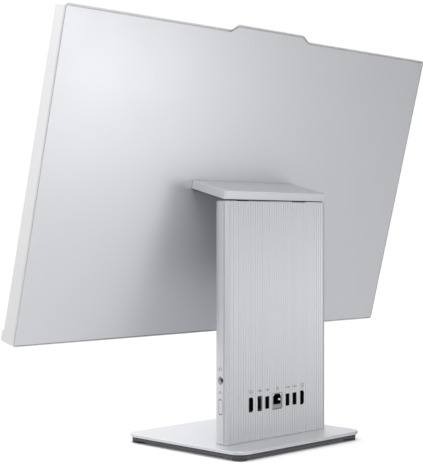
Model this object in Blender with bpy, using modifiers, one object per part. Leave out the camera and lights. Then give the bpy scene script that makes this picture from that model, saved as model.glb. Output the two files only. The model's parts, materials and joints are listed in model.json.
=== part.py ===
"""All-in-one computer: a thin tilting display carried by a flat column that holds the computer, on a plate base.

Metres, +Z up. The screen faces -Y and the ports face +Y. The origin is on the floor under the middle of the base.
"""

import math

import bmesh
import bpy
from mathutils import Matrix, Vector

MM = 0.001
GAP = 0.3 * MM  # kept between neighbouring pieces

# Display, in its own frame: x along the screen, y towards the rear, z up the screen, origin on the tilt axis.
DISPLAY_WIDTH = 541.0 * MM
DISPLAY_HEIGHT = 320.5 * MM
DEPTH_TOP = 13.0 * MM  # rear cover to screen, thicker towards the foot
DEPTH_BOTTOM = 16.5 * MM
DISPLAY_CORNER = 3.5 * MM
DISPLAY_REAR = -41.3 * MM  # y of the rear cover's outer face
DISPLAY_MIDDLE = 16.35 * MM  # z of the middle of the display
DISPLAY_TILT = math.radians(14.3)  # how far the screen leans back at rest
TILT_AXIS = Vector((0.0, 35.0, 243.0)) * MM
BUMP_FOOT = 120.0 * MM
BUMP_TOP = 100.8 * MM
BUMP_RISE = 6.1 * MM
FRAME_RIM = 2.2 * MM
CHIN_HEIGHT = 13.0 * MM
CHIN_STEP = 2.5 * MM
LENS_RISE = 2.1 * MM  # above the frame's top edge
COVER_INSET = 1.5 * MM
COVER_SHEET = 1.5 * MM

# Column, in the object's frame.
COLUMN_WIDTH = 152.0 * MM
COLUMN_REAR = 48.0 * MM
COLUMN_FRONT = 22.7 * MM
COLUMN_FOOT = 10.3 * MM
COLUMN_TOP = 252.1 * MM
COLUMN_WALL = 2.0 * MM
COLUMN_FRONT_RADIUS = 18.0 * MM
COLUMN_REAR_RADIUS = 3.0 * MM
REAR_COVER_EDGE = 44.9 * MM  # y where the rear cover meets the front shell
REAR_COVER_INSIDE = 45.4 * MM
RIB_COUNT = 40
RIB_PITCH = 3.6 * MM
RIB_DEPTH = 0.5 * MM

# Base.
BASE_WIDTH = 190.4 * MM
BASE_LENGTH = 168.4 * MM
BASE_CORNER = 15.0 * MM
BASE_TOP = 10.0 * MM
BASE_SHEET = 3.2 * MM
TRAY_INSET = 2.2 * MM
TRAY_FOOT = 2.9 * MM
FOOT_RADIUS = 7.5 * MM
FOOT_INSET = 11.5 * MM
BASE_SCREW_X = 45.0 * MM
BASE_SCREW_Y = 35.0 * MM

# Ports in the rear cover, all at one height, and the controls on the right-hand side.
PORT_Z = 47.0 * MM
PORT_MOUTH = 47.2 * MM
PORT_DEPTH = 15.9 * MM
PORT_CLEARANCE = 0.3 * MM
PORT_X = {
    "hdmi_out_port": 40.7 * MM,
    "dc_in_port": 28.1 * MM,
    "usb_port_1": 16.6 * MM,
    "ethernet_port": 1.1 * MM,
    "usb_port_2": -14.6 * MM,
    "usb_port_3": -25.7 * MM,
    "hdmi_in_port": -37.7 * MM,
}
SIDE_Y = 38.8 * MM  # depth position of the side controls
BUTTON_Z = 47.3 * MM
JACK_Z = 73.6 * MM
BUTTON_WIDTH = 5.6 * MM
BUTTON_LENGTH = 14.6 * MM
JACK_HOLE = 4.1 * MM

# Tilt hinge.
SHAFT_RADIUS = 2.6 * MM
KNUCKLE_RADIUS = 5.2 * MM
HINGE_BORE = 2.95 * MM
ARM_X = 44.0 * MM
ARM_WIDTH = 18.2 * MM
ARM_SHEET = 3.0 * MM
CAP_TOP = 21.55 * MM
CAP_FLOOR = 12.9 * MM
CAP_REAR = 7.2 * MM
CAP_WIDTH = 153.7 * MM
CAP_WALL = 1.8 * MM
ARM_FLOOR = 15.4 * MM

# Blower.
FAN_X = 28.0 * MM
FAN_Z = 150.0 * MM
FAN_RADIUS = 35.0 * MM
FAN_BORE = 31.5 * MM
BLADE_RADIUS = 30.0 * MM
BLADE_COUNT = 11

COLOURS = {  # name: (red, green, blue), roughness, metallic
    "silver": ((0.72, 0.72, 0.75), 0.38, 0.6),
    "silver_plate": ((0.75, 0.75, 0.78), 0.3, 0.8),
    "dark_plastic": ((0.05, 0.05, 0.06), 0.5, 0.0),
    "rubber": ((0.03, 0.03, 0.03), 0.85, 0.0),
    "black_plastic": ((0.02, 0.02, 0.02), 0.4, 0.0),
    "steel": ((0.55, 0.56, 0.58), 0.35, 1.0),
    "circuit_board": ((0.02, 0.12, 0.06), 0.5, 0.0),
    "copper": ((0.72, 0.36, 0.2), 0.35, 1.0),
    "aluminium": ((0.7, 0.71, 0.73), 0.4, 1.0),
    "screen_glass": ((0.01, 0.01, 0.012), 0.08, 0.0),
    "clear_plastic": ((0.85, 0.88, 0.9), 0.15, 0.0),
    "white_film": ((0.9, 0.9, 0.9), 0.6, 0.0),
}


# --- scene helpers -----------------------------------------------------------------------------------------

def clear_scene():
    for existing in list(bpy.data.objects):
        bpy.data.objects.remove(existing, do_unlink=True)


def new_collection(name):
    collection = bpy.data.collections.new(name)
    bpy.context.scene.collection.children.link(collection)
    return collection


def make_material(name):
    colour, roughness, metallic = COLOURS[name]
    made = bpy.data.materials.new(name)
    made.use_nodes = True
    shader = made.node_tree.nodes["Principled BSDF"]
    shader.inputs["Base Color"].default_value = (*colour, 1.0)
    shader.inputs["Roughness"].default_value = roughness
    shader.inputs["Metallic"].default_value = metallic
    return made


clear_scene()
PARTS = new_collection("all_in_one_computer")
CUTTERS = new_collection("cutters")
MATERIALS = {name: make_material(name) for name in COLOURS}
TURNS = {  # how a flat outline's own x, y and thickness lie in the object
    "XY": (0.0, 0.0, 0.0),
    "XZ": (math.pi / 2, 0.0, 0.0),
    "YZ": (math.pi / 2, 0.0, math.pi / 2),
}


def place(mesh, name, centre, rotation, material, parent):
    """A new object for the mesh; with no material it is a cutter."""
    made = bpy.data.objects.new(name, mesh)
    (PARTS if material else CUTTERS).objects.link(made)
    made.parent = parent
    made.location = centre
    made.rotation_euler = rotation
    if material:
        mesh.materials.append(MATERIALS[material])
    else:
        made.hide_render = True
        made.display_type = "WIRE"
    return made


def bevel(piece, width, segments=2):
    modifier = piece.modifiers.new("edges", "BEVEL")
    modifier.width = width
    modifier.segments = segments
    modifier.limit_method = "ANGLE"
    modifier.angle_limit = math.radians(50)


def boolean(piece, other, operation):
    modifier = piece.modifiers.new(other.name, "BOOLEAN")
    modifier.operation = operation
    modifier.solver = "EXACT"
    modifier.object = other


def cut(piece, *others):
    for other in others:
        boolean(piece, other, "DIFFERENCE")


def join(piece, *others):
    for other in others:
        boolean(piece, other, "UNION")


def box(name, low, high, material=None, parent=None):
    """An axis-aligned block from its lowest to its highest corner."""
    low, high = Vector(low), Vector(high)
    shape = bmesh.new()
    bmesh.ops.create_cube(shape, size=1.0)
    bmesh.ops.scale(shape, vec=high - low, verts=shape.verts)
    mesh = bpy.data.meshes.new(name)
    shape.to_mesh(mesh)
    shape.free()
    return place(mesh, name, (low + high) / 2, (0.0, 0.0, 0.0), material, parent)


def prism(name, outlines, thickness, plane, centre, material=None, parent=None):
    """A plate: a rim outline and any hole outlines, thickened evenly about the centre."""
    curve = bpy.data.curves.new(name, "CURVE")
    curve.dimensions = "2D"
    curve.fill_mode = "BOTH"
    curve.extrude = thickness / 2 / MM
    for outline in outlines:
        spline = curve.splines.new("POLY")
        spline.points.add(len(outline) - 1)
        for point, (u, v) in zip(spline.points, outline):
            point.co = (u / MM, v / MM, 0.0, 1.0)
        spline.use_cyclic_u = True
    drawn = bpy.data.objects.new(name + "_outline", curve)
    CUTTERS.objects.link(drawn)
    graph = bpy.context.evaluated_depsgraph_get()
    mesh = bpy.data.meshes.new_from_object(drawn.evaluated_get(graph))
    bpy.data.objects.remove(drawn)
    shape = bmesh.new()
    shape.from_mesh(mesh)
    bmesh.ops.remove_doubles(shape, verts=shape.verts, dist=0.01)
    bmesh.ops.recalc_face_normals(shape, faces=shape.faces)
    bmesh.ops.transform(shape, matrix=Matrix.Scale(MM, 4), verts=shape.verts)
    shape.to_mesh(mesh)
    shape.free()
    mesh.materials.clear()
    return place(mesh, name, centre, TURNS[plane], material, parent)


def turned(name, profile, axis, centre, material=None, parent=None, steps=24):
    """A turned piece: (radius, height) points down its outer side, from the axis back to the axis."""
    mesh = bpy.data.meshes.new(name)
    points = [(radius, 0.0, height) for radius, height in profile]
    mesh.from_pydata(points, [(i, i + 1) for i in range(len(points) - 1)], [])
    rotation = {"X": (0.0, math.pi / 2, 0.0), "Y": (-math.pi / 2, 0.0, 0.0), "Z": (0.0, 0.0, 0.0)}[axis]
    made = place(mesh, name, centre, rotation, material, parent)
    screw = made.modifiers.new("turn", "SCREW")
    screw.steps = steps
    screw.render_steps = steps
    screw.use_merge_vertices = True
    screw.merge_threshold = 0.00001
    return made


def cylinder(name, radius, length, axis, centre, material=None, parent=None, steps=24):
    profile = [(0.0, length / 2), (radius, length / 2), (radius, -length / 2), (0.0, -length / 2)]
    return turned(name, profile, axis, centre, material, parent, steps)


# --- outlines ----------------------------------------------------------------------------------------------

def arc(centre_u, centre_v, radius, start, end, steps=6):
    """Points on an arc between two angles in degrees."""
    angles = [math.radians(start + (end - start) * i / steps) for i in range(steps + 1)]
    return [(centre_u + radius * math.cos(a), centre_v + radius * math.sin(a)) for a in angles]


def circle(centre_u, centre_v, radius, steps=24):
    return arc(centre_u, centre_v, radius, 0, 360, steps)[:-1]


def rectangle(low_u, low_v, high_u, high_v):
    return [(low_u, low_v), (high_u, low_v), (high_u, high_v), (low_u, high_v)]


def rounded_rectangle(low_u, low_v, high_u, high_v, radius, steps=5):
    return (
        arc(high_u - radius, high_v - radius, radius, 0, 90, steps)
        + arc(low_u + radius, high_v - radius, radius, 90, 180, steps)
        + arc(low_u + radius, low_v + radius, radius, 180, 270, steps)
        + arc(high_u - radius, low_v + radius, radius, 270, 360, steps)
    )


def pill(centre_u, centre_v, width, length, steps=8):
    """An upright slot with round ends."""
    radius, half = width / 2, length / 2 - width / 2
    return arc(centre_u, centre_v + half, radius, 0, 180, steps) + arc(
        centre_u, centre_v - half, radius, 180, 360, steps
    )


def display_outline(inset):
    """The display's rim with the camera bump on top, moved inwards."""
    half = DISPLAY_WIDTH / 2 - inset
    top = DISPLAY_MIDDLE + DISPLAY_HEIGHT / 2 - inset
    bottom = DISPLAY_MIDDLE - DISPLAY_HEIGHT / 2 + inset
    radius = DISPLAY_CORNER - inset
    bump = [
        (BUMP_FOOT / 2 - inset / 2, top),
        (BUMP_TOP / 2 - inset / 2, top + BUMP_RISE),
        (-BUMP_TOP / 2 + inset / 2, top + BUMP_RISE),
        (-BUMP_FOOT / 2 + inset / 2, top),
    ]
    return (
        arc(half - radius, top - radius, radius, 0, 90, 4)
        + bump
        + arc(-half + radius, top - radius, radius, 90, 180, 4)
        + arc(-half + radius, bottom + radius, radius, 180, 270, 4)
        + arc(half - radius, bottom + radius, radius, 270, 360, 4)
    )


def mirrored(half_outline):
    """Closes an outline whose +u half runs from the middle line round to the middle line."""
    return half_outline + [(-u, v) for u, v in reversed(half_outline)]


# --- base --------------------------------------------------------------------------------------------------

def build_base():
    half_width, half_length = BASE_WIDTH / 2, BASE_LENGTH / 2
    screw_holes = [circle(side * BASE_SCREW_X, BASE_SCREW_Y, 2.1 * MM, 16) for side in (-1, 1)]
    plate = prism(
        "base_plate",
        [rounded_rectangle(-half_width, -half_length, half_width, half_length, BASE_CORNER, 8)] + screw_holes,
        BASE_SHEET, "XY", (0, 0, BASE_TOP - BASE_SHEET / 2), "silver_plate",
    )
    tray_width, tray_length = half_width - TRAY_INSET, half_length - TRAY_INSET
    tray_radius = BASE_CORNER - TRAY_INSET
    tray_top = BASE_TOP - BASE_SHEET - GAP
    driver_holes = [circle(side * BASE_SCREW_X, BASE_SCREW_Y, 4.5 * MM, 16) for side in (-1, 1)]
    tray = prism(
        "base_tray",
        [rounded_rectangle(-tray_width, -tray_length, tray_width, tray_length, tray_radius, 6)] + driver_holes,
        tray_top - TRAY_FOOT, "XY", (0, 0, (tray_top + TRAY_FOOT) / 2), "dark_plastic",
    )
    wall = 2.0 * MM
    pocket = prism(
        "tray_pocket",
        [rounded_rectangle(wall - tray_width, wall - tray_length, tray_width - wall, tray_length - wall,
                           tray_radius - wall, 6)],
        6.0 * MM, "XY", (0, 0, TRAY_FOOT + 1.6 * MM + 3.0 * MM),
    )
    cut(tray, pocket)
    for name, side_x, side_y in (("foot_front_left", -1, -1), ("foot_front_right", 1, -1),
                                 ("foot_rear_left", -1, 1), ("foot_rear_right", 1, 1)):
        height = TRAY_FOOT - GAP
        profile = [(0, height), (FOOT_RADIUS, height), (FOOT_RADIUS, 0.5 * MM),
                   (FOOT_RADIUS - 0.5 * MM, 0), (0, 0)]
        centre = (side_x * (half_width - FOOT_INSET), side_y * (half_length - FOOT_INSET), 0)
        turned(name, profile, "Z", centre, "rubber", steps=20)
    for name, side in (("base_screw_left", -1), ("base_screw_right", 1)):
        head, shank = 3.6 * MM, 1.7 * MM
        seat = tray_top - 4.0 * MM
        profile = [(0, 6.0 * MM), (shank, 6.0 * MM), (shank, 0), (head, 0), (head, -2.1 * MM), (0, -2.1 * MM)]
        turned(name, profile, "Z", (side * BASE_SCREW_X, BASE_SCREW_Y, seat + 4.0 * MM), "steel", steps=16)
    return plate


# --- column shells -----------------------------------------------------------------------------------------

def ribbed_rear_outline():
    """The rear cover seen from above: ribbed field, a groove each side, rounded corners, flat inside."""
    half = COLUMN_WIDTH / 2
    field = RIB_COUNT * RIB_PITCH / 2
    valley = COLUMN_REAR - RIB_DEPTH
    ribs = []
    for i in range(RIB_COUNT // 2):
        start = i * RIB_PITCH
        ribs += [(start + 0.5 * MM, valley), (start + 1.1 * MM, COLUMN_REAR),
                 (start + RIB_PITCH - 1.1 * MM, COLUMN_REAR), (start + RIB_PITCH - 0.5 * MM, valley)]
    corner = arc(half - COLUMN_REAR_RADIUS, COLUMN_REAR - COLUMN_REAR_RADIUS, COLUMN_REAR_RADIUS, 90, 0, 5)
    half_outline = (
        ribs + [(field, valley - 0.2 * MM), (field + 0.6 * MM, valley)] + corner[:-1]
        + [(half, REAR_COVER_EDGE), (half - 2.4 * MM, REAR_COVER_EDGE), (half - 2.4 * MM, REAR_COVER_INSIDE)]
    )
    return mirrored(half_outline)


def hdmi_outline(centre_u, centre_v, width, height, slope):
    """The socket's D shape, upright, with its sloped long side towards -u."""
    u, v = width / 2, height / 2
    return [
        (centre_u + u, centre_v - v), (centre_u + u, centre_v + v),
        (centre_u - u + slope, centre_v + v), (centre_u - u, centre_v + v - slope),
        (centre_u - u, centre_v - v + slope), (centre_u - u + slope, centre_v - v),
    ]


def port_outline(name, grow=0.0):
    """The outside of a port's face, which the rear cover's hole repeats a little larger."""
    x = PORT_X[name]
    if name.startswith("hdmi"):
        return hdmi_outline(x, PORT_Z, 5.9 * MM + 2 * grow, 14.9 * MM + 2 * grow, 1.7 * MM)
    width, height = {"usb": (5.7, 13.1), "dc_": (6.7, 15.3), "eth": (14.4, 16.0)}[name[:3]]
    half_u, half_v = width * MM / 2 + grow, height * MM / 2 + grow
    return rectangle(x - half_u, PORT_Z - half_v, x + half_u, PORT_Z + half_v)


def build_column_shells():
    height = COLUMN_TOP - COLUMN_FOOT
    middle = (COLUMN_TOP + COLUMN_FOOT) / 2
    rear = prism("column_rear_cover", [ribbed_rear_outline()], height, "XY", (0, 0, middle), "silver")
    for name in PORT_X:
        hole = prism(name + "_hole", [port_outline(name, PORT_CLEARANCE)], 12 * MM, "XZ", (0, COLUMN_REAR, 0))
        cut(rear, hole)

    half, radius = COLUMN_WIDTH / 2, COLUMN_FRONT_RADIUS
    shell_rear = REAR_COVER_EDGE - GAP
    inner = half - COLUMN_WALL
    bend = (half - radius, COLUMN_FRONT + radius)
    outside = [(half, shell_rear)] + arc(*bend, radius, 0, -90, 10)
    inside = [(inner, shell_rear)] + arc(*bend, radius - COLUMN_WALL, 0, -90, 10)
    outline = outside + [(-u, v) for u, v in reversed(outside)] + [(-u, v) for u, v in inside] + inside[::-1]
    front = prism("column_front_shell", [outline], height, "XY", (0, 0, middle), "silver")
    button_hole = prism("button_hole", [pill(SIDE_Y, BUTTON_Z, BUTTON_WIDTH + 2 * GAP, BUTTON_LENGTH + 2 * GAP)],
                        10 * MM, "YZ", (half, 0, 0))
    jack_hole = prism("jack_hole", [circle(SIDE_Y, JACK_Z, JACK_HOLE, 20)], 10 * MM, "YZ", (half, 0, 0))
    cut(front, button_hole, jack_hole)
    vents = 13
    for i in range(vents):
        x = (i - (vents - 1) / 2) * 6.0 * MM
        cut(front, box(f"intake_{i}", (x - 1.2 * MM, COLUMN_FRONT - 2 * MM, 150 * MM),
                       (x + 1.2 * MM, COLUMN_FRONT + 2.1 * MM, 205 * MM)))

    edge = half - COLUMN_WALL - GAP
    bend_radius = radius - COLUMN_WALL - GAP
    lid_front = COLUMN_FRONT + COLUMN_WALL + GAP
    rim = [(edge - 0.4 * MM, REAR_COVER_INSIDE - GAP)] + arc(edge - bend_radius, lid_front + bend_radius, bend_radius,
                                                 0, -90, 6)
    holes = [rectangle(side * ARM_X - ARM_WIDTH / 2 - 0.6 * MM, 31.9 * MM,
                       side * ARM_X + ARM_WIDTH / 2 + 0.6 * MM, 40.1 * MM) for side in (-1, 1)]
    holes += [rectangle((i * 6 - 1.2) * MM, 29 * MM, (i * 6 + 1.2) * MM, 42 * MM) for i in range(-4, 5)]
    prism("column_top_plate", [mirrored(rim)] + holes, 1.8 * MM, "XY", (0, 0, 250.3 * MM), "dark_plastic")


# --- inside the column -------------------------------------------------------------------------------------

def build_chassis():
    """Bent steel sheet that carries the mainboard and the hinge, screwed to the base from below."""
    front, sheet, foot = 25.0 * MM, 1.2 * MM, COLUMN_FOOT + GAP
    profile = [(front, foot), (42 * MM, foot), (42 * MM, foot + sheet), (front + sheet, foot + sheet),
               (front + sheet, 248 * MM), (front, 248 * MM)]
    chassis = prism("chassis_frame", [profile], 112 * MM, "YZ", (0, 0, 0), "steel")
    for side in (-1, 1):
        cut(chassis, cylinder(f"chassis_hole_{side}", 2.1 * MM, 6 * MM, "Z",
                              (side * BASE_SCREW_X, BASE_SCREW_Y, foot + sheet / 2), steps=16))


def build_mainboard():
    board_rear = 31.0 * MM
    box("mainboard", (-66 * MM, 29.6 * MM, 14 * MM), (66 * MM, board_rear, 205 * MM), "circuit_board")
    seat = board_rear + GAP
    box("processor", (-42 * MM, seat, 100 * MM), (-14 * MM, seat + 1.5 * MM, 128 * MM), "black_plastic")
    box("cold_plate", (-50 * MM, seat + 1.8 * MM, 92 * MM), (-10 * MM, seat + 3.3 * MM, 136 * MM), "copper")
    box("memory_module", (-60 * MM, 27.0 * MM, 60 * MM), (7.6 * MM, 28.2 * MM, 90 * MM), "circuit_board")
    box("memory_socket", (-61 * MM, 26.7 * MM, 53 * MM), (8.6 * MM, 29.3 * MM, 59.6 * MM), "black_plastic")
    box("ssd_module", (24 * MM, 27.0 * MM, 70 * MM), (46 * MM, 28.8 * MM, 150 * MM), "circuit_board")
    box("wifi_card", (-55 * MM, 27.0 * MM, 140 * MM), (-33 * MM, 28.8 * MM, 170 * MM), "steel")


def build_cooler():
    build_heat_pipe()
    spine, fin, tip, count, pitch = 38.4 * MM, 39.4 * MM, 44.8 * MM, 16, 3.2 * MM
    start = FAN_X - (count - 1) * pitch / 2
    comb = []
    for i in range(count):
        x = start + i * pitch
        comb += [(x - 0.4 * MM, fin), (x - 0.4 * MM, tip), (x + 0.4 * MM, tip), (x + 0.4 * MM, fin)]
    end = start + (count - 1) * pitch
    outline = [(end + 0.4 * MM, spine), (start - 0.4 * MM, spine)] + comb[1:-1] + [comb[-1]]
    prism("fin_stack", [outline], 14 * MM, "XY", (0, 0, 200 * MM), "aluminium")
    build_blower()


def build_heat_pipe():
    """A pipe from the cold plate up and across under the fins."""
    curve = bpy.data.curves.new("heat_pipe_line", "CURVE")
    curve.dimensions = "3D"
    curve.bevel_depth = 1.5 * MM
    curve.bevel_resolution = 2
    curve.use_fill_caps = True
    depth, bend = 36.6 * MM, 12 * MM
    route = [(-30 * MM, 96 * MM)] + [
        (-30 * MM + bend + u, 188 * MM + v) for u, v in arc(0, 0, bend, 180, 90, 6)
    ] + [(50 * MM, 200 * MM)]
    spline = curve.splines.new("POLY")
    spline.points.add(len(route) - 1)
    for point, (x, z) in zip(spline.points, route):
        point.co = (x, depth, z, 1.0)
    pipe = bpy.data.objects.new("heat_pipe", curve)
    curve.materials.append(MATERIALS["copper"])
    PARTS.objects.link(pipe)


def build_blower():
    floor, rim = 33.0 * MM, 42.0 * MM
    throat = 26.0 * MM
    depth = rim - floor
    start = math.degrees(math.acos(throat / FAN_RADIUS))
    wall = arc(FAN_X, FAN_Z, FAN_RADIUS, start, start - 360 + 2 * (90 - start), 28)
    outline = [(FAN_X + throat, FAN_Z + 39 * MM)] + wall + [(FAN_X - throat, FAN_Z + 39 * MM)]
    housing = prism("fan_housing", [outline], depth, "XZ", (0, (floor + rim) / 2, 0), "black_plastic")
    chamber = prism("fan_chamber", [circle(FAN_X, FAN_Z, FAN_BORE, 32)], depth, "XZ",
                    (0, (floor + rim) / 2 + 1.0 * MM, 0))
    outlet = box("fan_outlet", (FAN_X - throat + 2 * MM, floor + 1.0 * MM, FAN_Z + 10 * MM),
                 (FAN_X + throat - 2 * MM, rim + 1 * MM, FAN_Z + 50 * MM))
    spindle = cylinder("fan_spindle", 1.5 * MM, 7.0 * MM, "Y", (FAN_X, floor + 4.0 * MM, FAN_Z), steps=16)
    cut(housing, chamber, outlet)
    join(housing, spindle)

    hub = 11.0 * MM
    sweep = 360 / BLADE_COUNT
    blades = []
    for i in range(BLADE_COUNT):
        for lead, radius in ((0, hub), (6, BLADE_RADIUS * 0.7), (14, BLADE_RADIUS), (17, BLADE_RADIUS),
                             (12, BLADE_RADIUS * 0.7), (10, hub), (21, hub)):
            angle = math.radians(i * sweep + lead)
            blades.append((radius * math.cos(angle), radius * math.sin(angle)))
    prism("fan_impeller", [blades, circle(0, 0, 1.9 * MM, 16)], 7.0 * MM, "XZ",
          (FAN_X, 38.2 * MM, FAN_Z), "black_plastic")
    prism("fan_cover", [circle(FAN_X, FAN_Z, FAN_RADIUS, 32), circle(FAN_X, FAN_Z, 21 * MM, 24)], 0.8 * MM, "XZ",
          (0, rim + GAP + 0.4 * MM, 0), "black_plastic")


def build_side_controls():
    """The small board behind the power button and the headset jack."""
    board, backs = 69.8 * MM, 72.6 * MM
    box("side_board", (board - 1.2 * MM, 32 * MM, 36 * MM), (board, 43 * MM, 84 * MM), "circuit_board")
    box("power_switch", (board + GAP, SIDE_Y - 3 * MM, BUTTON_Z - 3 * MM),
        (71.3 * MM, SIDE_Y + 3 * MM, BUTTON_Z + 3 * MM), "black_plastic")
    jack = box("headset_jack", (board + GAP, SIDE_Y - 3.5 * MM, JACK_Z - 5.5 * MM),
               (backs, SIDE_Y + 3.5 * MM, JACK_Z + 5.5 * MM), "black_plastic")
    barrel = cylinder("jack_barrel", JACK_HOLE - 0.4 * MM, 3.6 * MM, "X", (73.6 * MM, SIDE_Y, JACK_Z), steps=20)
    bore = cylinder("jack_bore", 1.75 * MM, 8.0 * MM, "X", (75.2 * MM, SIDE_Y, JACK_Z), steps=16)
    join(jack, barrel)
    cut(jack, bore)
    stem_low, face = 72.0 * MM, 75.95 * MM
    button = prism("power_button", [pill(SIDE_Y, BUTTON_Z, BUTTON_WIDTH, BUTTON_LENGTH)], face - stem_low,
                   "YZ", ((face + stem_low) / 2, 0, 0), "silver")
    flange = prism("button_flange", [rectangle(SIDE_Y - 3.6 * MM, BUTTON_Z - 9 * MM,
                                               SIDE_Y + 3.6 * MM, BUTTON_Z + 9 * MM)],
                   backs - stem_low, "YZ", ((stem_low + backs) / 2, 0, 0))
    join(button, flange)


# --- ports -------------------------------------------------------------------------------------------------

def port_block(name, material):
    return prism(name, [port_outline(name)], PORT_DEPTH, "XZ", (0, PORT_MOUTH - PORT_DEPTH / 2, 0), material)


def socket_cutter(name, outline, depth):
    return prism(name, [outline], depth + 2 * MM, "XZ", (0, PORT_MOUTH - depth / 2 + 1 * MM, 0))


def build_ports():
    wall = 0.5 * MM
    for name, x in PORT_X.items():
        if name.startswith("usb"):
            block = port_block(name, "steel")
            cavity = rectangle(x - 2.55 * MM, PORT_Z - 6.25 * MM, x + 2.55 * MM, PORT_Z + 6.25 * MM)
            tongue = box(name + "_tongue", (x + 0.1 * MM, PORT_MOUTH - 13 * MM, PORT_Z - 5.6 * MM),
                         (x + 1.9 * MM, PORT_MOUTH - 1.2 * MM, PORT_Z + 5.6 * MM))
            cut(block, socket_cutter(name + "_cavity", cavity, 12 * MM))
            join(block, tongue)
        elif name.startswith("hdmi"):
            block = port_block(name, "steel")
            cavity = hdmi_outline(x, PORT_Z, 5.9 * MM - 2 * wall, 14.9 * MM - 2 * wall, 1.5 * MM)
            tongue = box(name + "_tongue", (x - 0.4 * MM, PORT_MOUTH - 12 * MM, PORT_Z - 5.4 * MM),
                         (x + 0.8 * MM, PORT_MOUTH - 1.5 * MM, PORT_Z + 5.4 * MM))
            cut(block, socket_cutter(name + "_cavity", cavity, 11 * MM))
            join(block, tongue)
        elif name.startswith("dc"):
            block = port_block(name, "black_plastic")
            cavity = rectangle(x - 2.35 * MM, PORT_Z - 5.6 * MM, x + 2.35 * MM, PORT_Z + 5.6 * MM)
            pin = cylinder(name + "_pin", 0.6 * MM, 10 * MM, "Y", (x, PORT_MOUTH - 7 * MM, PORT_Z), steps=12)
            cut(block, socket_cutter(name + "_cavity", cavity, 11 * MM))
            join(block, pin)
        else:
            block = port_block(name, "steel")
            low, high = PORT_Z - 3.2 * MM, PORT_Z + 7.2 * MM
            middle = (low + high) / 2
            cavity = [
                (x + 5.4 * MM, low), (x + 5.4 * MM, high), (x - 2.2 * MM, high),
                (x - 2.2 * MM, middle + 3.0 * MM), (x - 4.2 * MM, middle + 3.0 * MM),
                (x - 4.2 * MM, middle + 1.8 * MM), (x - 5.6 * MM, middle + 1.8 * MM),
                (x - 5.6 * MM, middle - 1.8 * MM), (x - 4.2 * MM, middle - 1.8 * MM),
                (x - 4.2 * MM, middle - 3.0 * MM), (x - 2.2 * MM, middle - 3.0 * MM), (x - 2.2 * MM, low),
            ]
            cut(block, socket_cutter(name + "_cavity", cavity, 12 * MM))


# --- tilt hinge --------------------------------------------------------------------------------------------

def ear_outline():
    """A hinge ear seen along X: square where it meets the bracket, round about the tilt axis."""
    y, z = TILT_AXIS.y, TILT_AXIS.z
    radius = 5.4 * MM
    return [(28.0 * MM, z - radius)] + arc(y, z, radius, -90, 90, 8) + [(28.0 * MM, z + radius)]


def build_hinge_bracket():
    bracket = box("hinge_bracket", (-60 * MM, 26.5 * MM, 224 * MM), (60 * MM, 28.5 * MM, 248.4 * MM), "steel")
    bore = circle(TILT_AXIS.y, TILT_AXIS.z, HINGE_BORE, 20)
    for side in (-1, 1):
        for ear, x in (("inner", 28.5 * MM), ("outer", 54.9 * MM)):
            join(bracket, prism(f"ear_{ear}_{side}", [ear_outline(), bore], 3.0 * MM, "YZ", (side * x, 0, 0)))
    for name, side in (("left", -1), ("right", 1)):
        pin = [(0, 29.0), (4.2, 29.0), (4.2, 27.0), (2.6, 27.0), (2.6, -3.0), (3.6, -3.0), (3.6, -5.0), (0, -5.0)]
        profile = [(radius * MM, height * MM) for radius, height in pin]
        shaft = turned("hinge_shaft_" + name, profile, "X", (side * 29.7 * MM, TILT_AXIS.y, TILT_AXIS.z), "steel",
                       steps=20)
        shaft.rotation_euler = (0, side * math.pi / 2, 0)
        prism("friction_washers_" + name,
              [circle(TILT_AXIS.y, TILT_AXIS.z, 4.6 * MM, 20), circle(TILT_AXIS.y, TILT_AXIS.z, HINGE_BORE, 20)],
              4.2 * MM, "YZ", (side * 32.5 * MM, 0, 0), "steel")


def arm_outline():
    """A hinge arm seen along X in the display's frame: knuckle, riser, reach to the display, and flange."""
    riser, roof = ARM_SHEET / 2, ARM_FLOOR + 2.8 * MM
    neck = math.degrees(math.asin(riser / KNUCKLE_RADIUS))
    flange_rear, flange_front = DISPLAY_REAR - COVER_SHEET - GAP, DISPLAY_REAR - COVER_SHEET - 1.8 * MM
    knuckle = arc(0, 0, KNUCKLE_RADIUS, 90 - neck, -270 + neck, 16)
    return knuckle + [
        (-riser, ARM_FLOOR), (flange_rear, ARM_FLOOR), (flange_rear, -6 * MM),
        (flange_front, -6 * MM), (flange_front, roof), (riser, roof),
    ]


def build_hinge_arms(tilt):
    for name, side in (("left", -1), ("right", 1)):
        prism("hinge_arm_" + name, [arm_outline(), circle(0, 0, HINGE_BORE, 20)], ARM_WIDTH, "YZ",
              (side * ARM_X, 0, 0), "steel", tilt)


def build_hinge_cap(tilt):
    half = CAP_WIDTH / 2
    front = DISPLAY_REAR + GAP
    cap = box("hinge_cap", (-half, front, CAP_FLOOR), (half, CAP_REAR, CAP_TOP), "silver", tilt)
    bevel(cap, 0.8 * MM, 2)
    cut(cap, box("cap_pocket", (CAP_WALL - half, front - 2 * MM, CAP_FLOOR - 2 * MM),
                 (half - CAP_WALL, CAP_REAR - CAP_WALL, CAP_TOP - CAP_WALL), None, tilt))
    inner = half - CAP_WALL - GAP
    floor_z = CAP_FLOOR + 0.75 * MM
    slots = [rectangle(side * ARM_X - ARM_WIDTH / 2 - GAP, -2.2 * MM, side * ARM_X + ARM_WIDTH / 2 + GAP, 2.2 * MM)
             for side in (-1, 1)]
    prism("hinge_cap_floor", [rectangle(-inner, front + GAP, inner, CAP_REAR - CAP_WALL - GAP)] + slots,
          1.0 * MM, "XY", (0, 0, floor_z), "dark_plastic", tilt)


# --- display -----------------------------------------------------------------------------------------------

def slab(name, half_width, low_z, high_z, front_y, rear_y, material, tilt, middle_x=0.0):
    return box(name, (middle_x - half_width, front_y, low_z), (middle_x + half_width, rear_y, high_z), material, tilt)


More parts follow.
